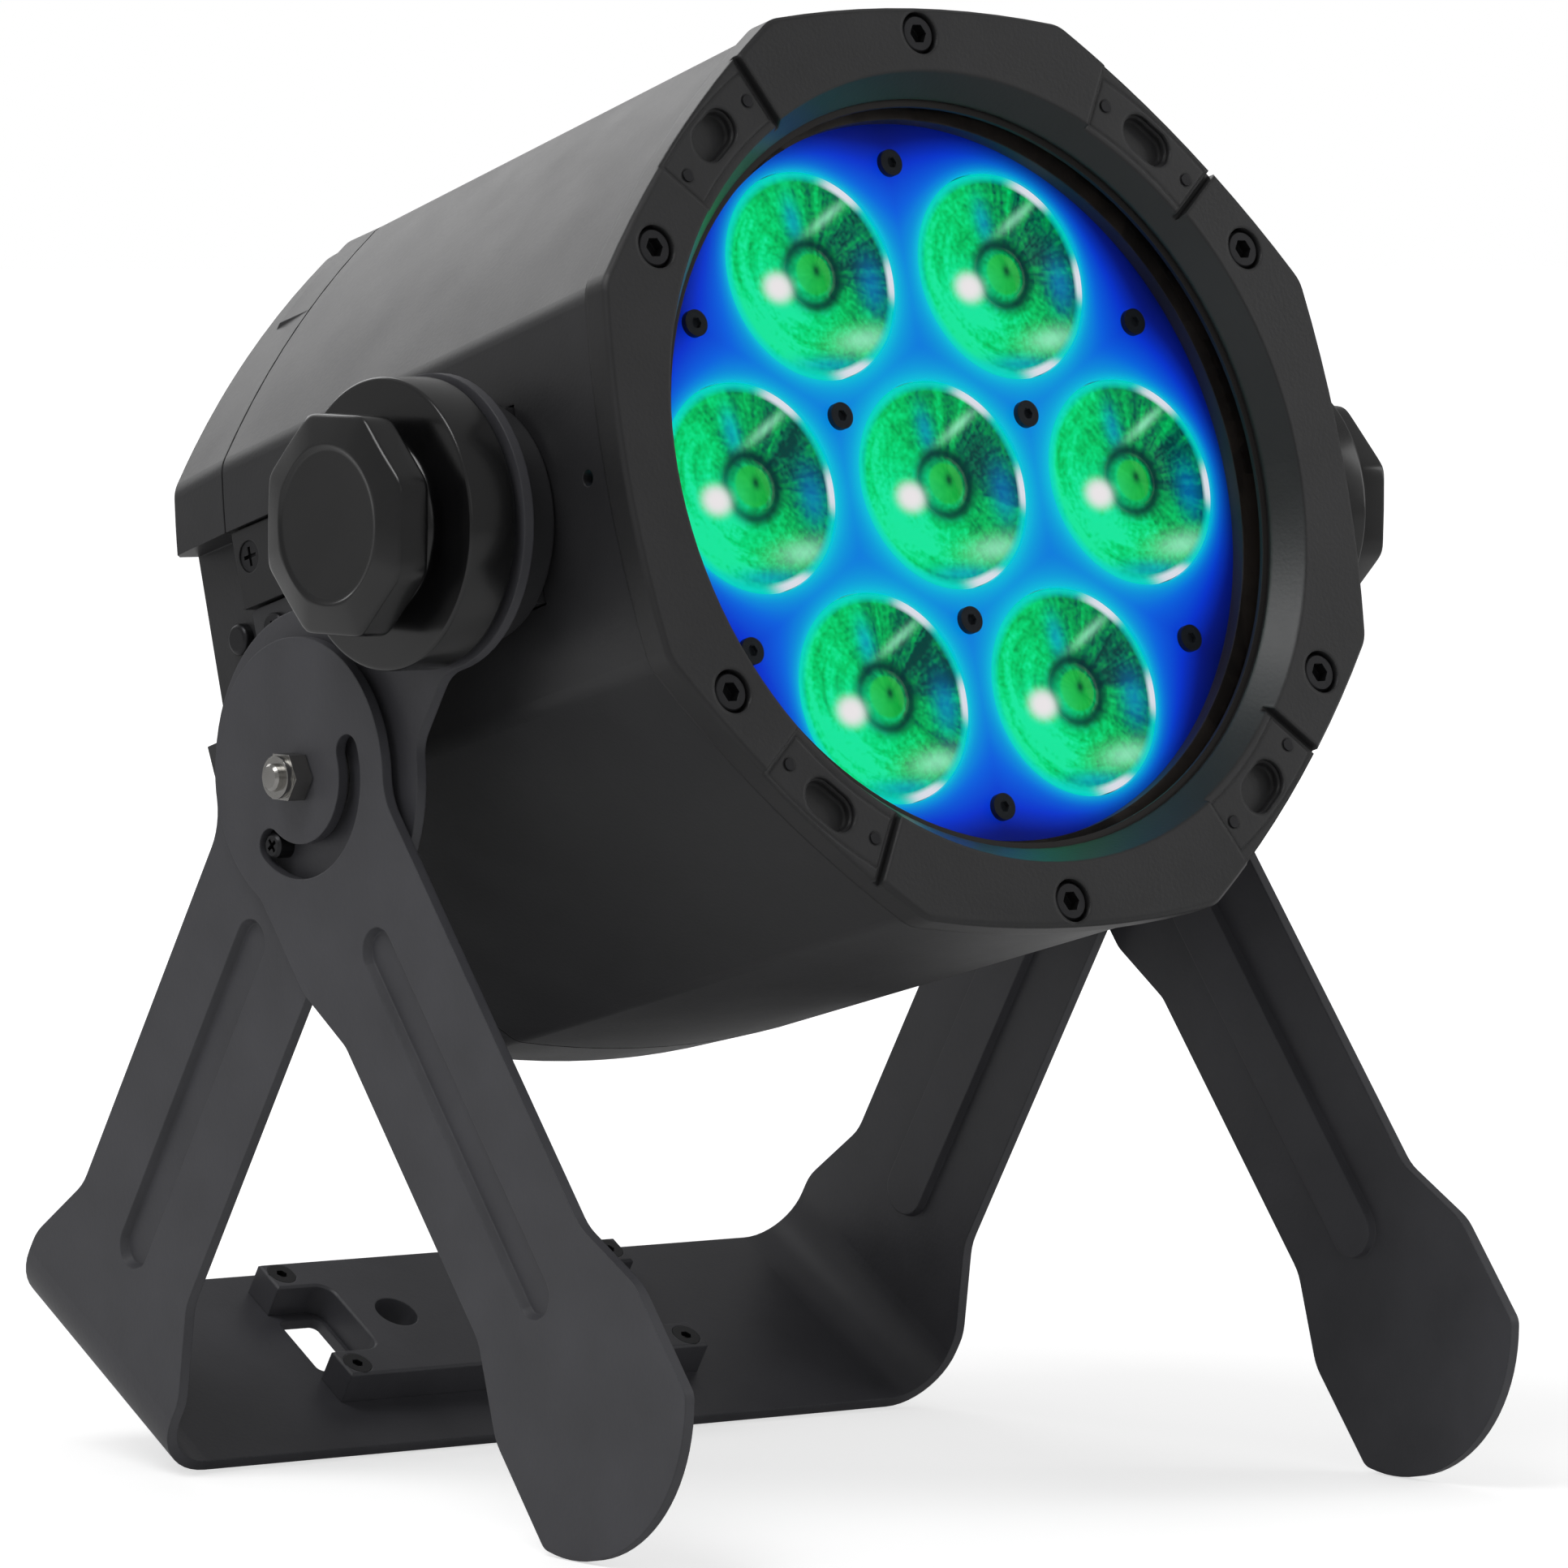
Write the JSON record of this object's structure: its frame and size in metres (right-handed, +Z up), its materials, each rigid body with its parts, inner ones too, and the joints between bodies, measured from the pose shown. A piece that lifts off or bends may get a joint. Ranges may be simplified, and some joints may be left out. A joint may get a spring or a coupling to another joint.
{
  "type": "par can light",
  "caption": "Octagonal LED par can light with a recessed multi-lens face, tilting in a flat-bar yoke with folding front legs, side lock knobs and a clamp plate.",
  "frame": {"origin": "centre of the middle clamp hole, on the underside of the yoke's base plate", "axes": "+Z up with the light standing on the floor; the light faces -Y, tilted up; X is the tilt axis"},
  "size_m": [0.2856, 0.2491, 0.3272],
  "materials": {
    "bare_aluminium": "mill finish",
    "bezel_coat": "satin powder coat",
    "button_rubber": "matt",
    "circuit_board": "green solder mask",
    "dark_screws": "black oxide",
    "display_window": "smoked",
    "front_glass": "clear toughened",
    "head_coat": "satin powder coat",
    "knob_plastic": "semi-gloss moulded",
    "led_board": "white solder mask",
    "led_emitters": "phosphor",
    "lens_acrylic": "clear acrylic",
    "lens_plate": "matt",
    "lens_screws": "black",
    "nylon_washer": "nylon",
    "plate_coat": "satin powder coat",
    "rail_coat": "satin powder coat",
    "retainer_ring": "matt",
    "seal_rubber": "matt",
    "socket_plastic": "moulded",
    "stand_coat": "satin powder coat",
    "stop_plate": "dark zinc",
    "supply_case": "mill finish",
    "zinc_nuts": "bright zinc",
    "zinc_studs": "bright zinc"
  },
  "bodies": {
    "stand": {"yoke": "stand_coat", "rigging_plate": "plate_coat", "rigging_screws": "dark_screws", "leg_studs": "zinc_studs", "leg_spacers": "zinc_studs", "leg_nuts": "zinc_nuts", "stop_screws": "dark_screws"},
    "head": {"accessory_plates": "bezel_coat", "accessory_screws": "dark_screws", "barrel": "head_coat", "bezel": "bezel_coat", "bezel_screws": "dark_screws", "bezel_seal": "seal_rubber", "channel_screws": "dark_screws", "chassis_plate": "bare_aluminium", "cover_screws": "dark_screws", "data_in": "socket_plastic", "data_out": "socket_plastic", "display_board": "circuit_board", "display_window": "display_window", "driver_board": "circuit_board", "front_glass": "front_glass", "glass_gasket": "seal_rubber", "glass_retainer": "retainer_ring", "heat_sink": "bare_aluminium", "led_board": "led_board", "led_emitters": "led_emitters", "lens_plate": "lens_plate", "lens_posts": "zinc_studs", "lens_screws": "lens_screws", "lenses": "lens_acrylic", "power_in": "socket_plastic", "power_out": "socket_plastic", "power_supply": "supply_case", "rail_screws": "dark_screws", "rail_stops": "stop_plate", "rear_cover": "head_coat", "rear_feet": "seal_rubber", "rear_seal": "seal_rubber", "safety_eye": "zinc_nuts", "side_rail_left": "rail_coat", "side_rail_right": "rail_coat", "sink_screws": "zinc_studs", "stop_plate_screws": "dark_screws", "trunnion_left": "head_coat", "trunnion_right": "head_coat", "trunnion_screws": "dark_screws", "vent_plug": "socket_plastic"},
    "front_leg_left": {"front_leg_left": "stand_coat"},
    "front_leg_right": {"front_leg_right": "stand_coat"},
    "tilt_knob_left": {"tilt_knob_left": "knob_plastic", "knob_screw_left": "zinc_studs", "knob_washer_left": "nylon_washer"},
    "tilt_knob_right": {"tilt_knob_right": "knob_plastic", "knob_screw_right": "zinc_studs", "knob_washer_right": "nylon_washer"},
    "menu_button_1": {"menu_button_1": "button_rubber"},
    "menu_button_2": {"menu_button_2": "button_rubber"},
    "menu_button_3": {"menu_button_3": "button_rubber"},
    "menu_button_4": {"menu_button_4": "button_rubber"}
  },
  "joints": [
    {"name": "head_tilt", "type": "hinge", "parent": "stand", "child": "head", "pos_m": [0, -0.13084, 0.19654], "axis": [-1, 0, 0], "range_deg": [-110, 90]},
    {"name": "front_leg_left_fold", "type": "hinge", "parent": "stand", "child": "front_leg_left", "pos_m": [0, -0.09004, 0.14014], "axis": [1, 0, 0], "range_deg": [0, 142]},
    {"name": "front_leg_right_fold", "type": "hinge", "parent": "stand", "child": "front_leg_right", "pos_m": [0, -0.09004, 0.14014], "axis": [1, 0, 0], "range_deg": [0, 142]},
    {"name": "tilt_knob_left_turn", "type": "hinge", "parent": "head", "child": "tilt_knob_left", "pos_m": [0, -0.13084, 0.19654], "axis": [1, 0, 0], "range_deg": [0, 360]},
    {"name": "tilt_knob_right_turn", "type": "hinge", "parent": "head", "child": "tilt_knob_right", "pos_m": [0, -0.13084, 0.19654], "axis": [1, 0, 0], "range_deg": [0, 360]},
    {"name": "menu_button_1_press", "type": "slide", "parent": "head", "child": "menu_button_1", "axis": [0, -0.9588, 0.284], "range_m": [0, 0.001], "stiffness_N_per_m": 200, "springref_m": -0.0005},
    {"name": "menu_button_2_press", "type": "slide", "parent": "head", "child": "menu_button_2", "axis": [0, -0.9588, 0.284], "range_m": [0, 0.001], "stiffness_N_per_m": 200, "springref_m": -0.0005},
    {"name": "menu_button_3_press", "type": "slide", "parent": "head", "child": "menu_button_3", "axis": [0, -0.9588, 0.284], "range_m": [0, 0.001], "stiffness_N_per_m": 200, "springref_m": -0.0005},
    {"name": "menu_button_4_press", "type": "slide", "parent": "head", "child": "menu_button_4", "axis": [0, -0.9588, 0.284], "range_m": [0, 0.001], "stiffness_N_per_m": 200, "springref_m": -0.0005}
  ]
}
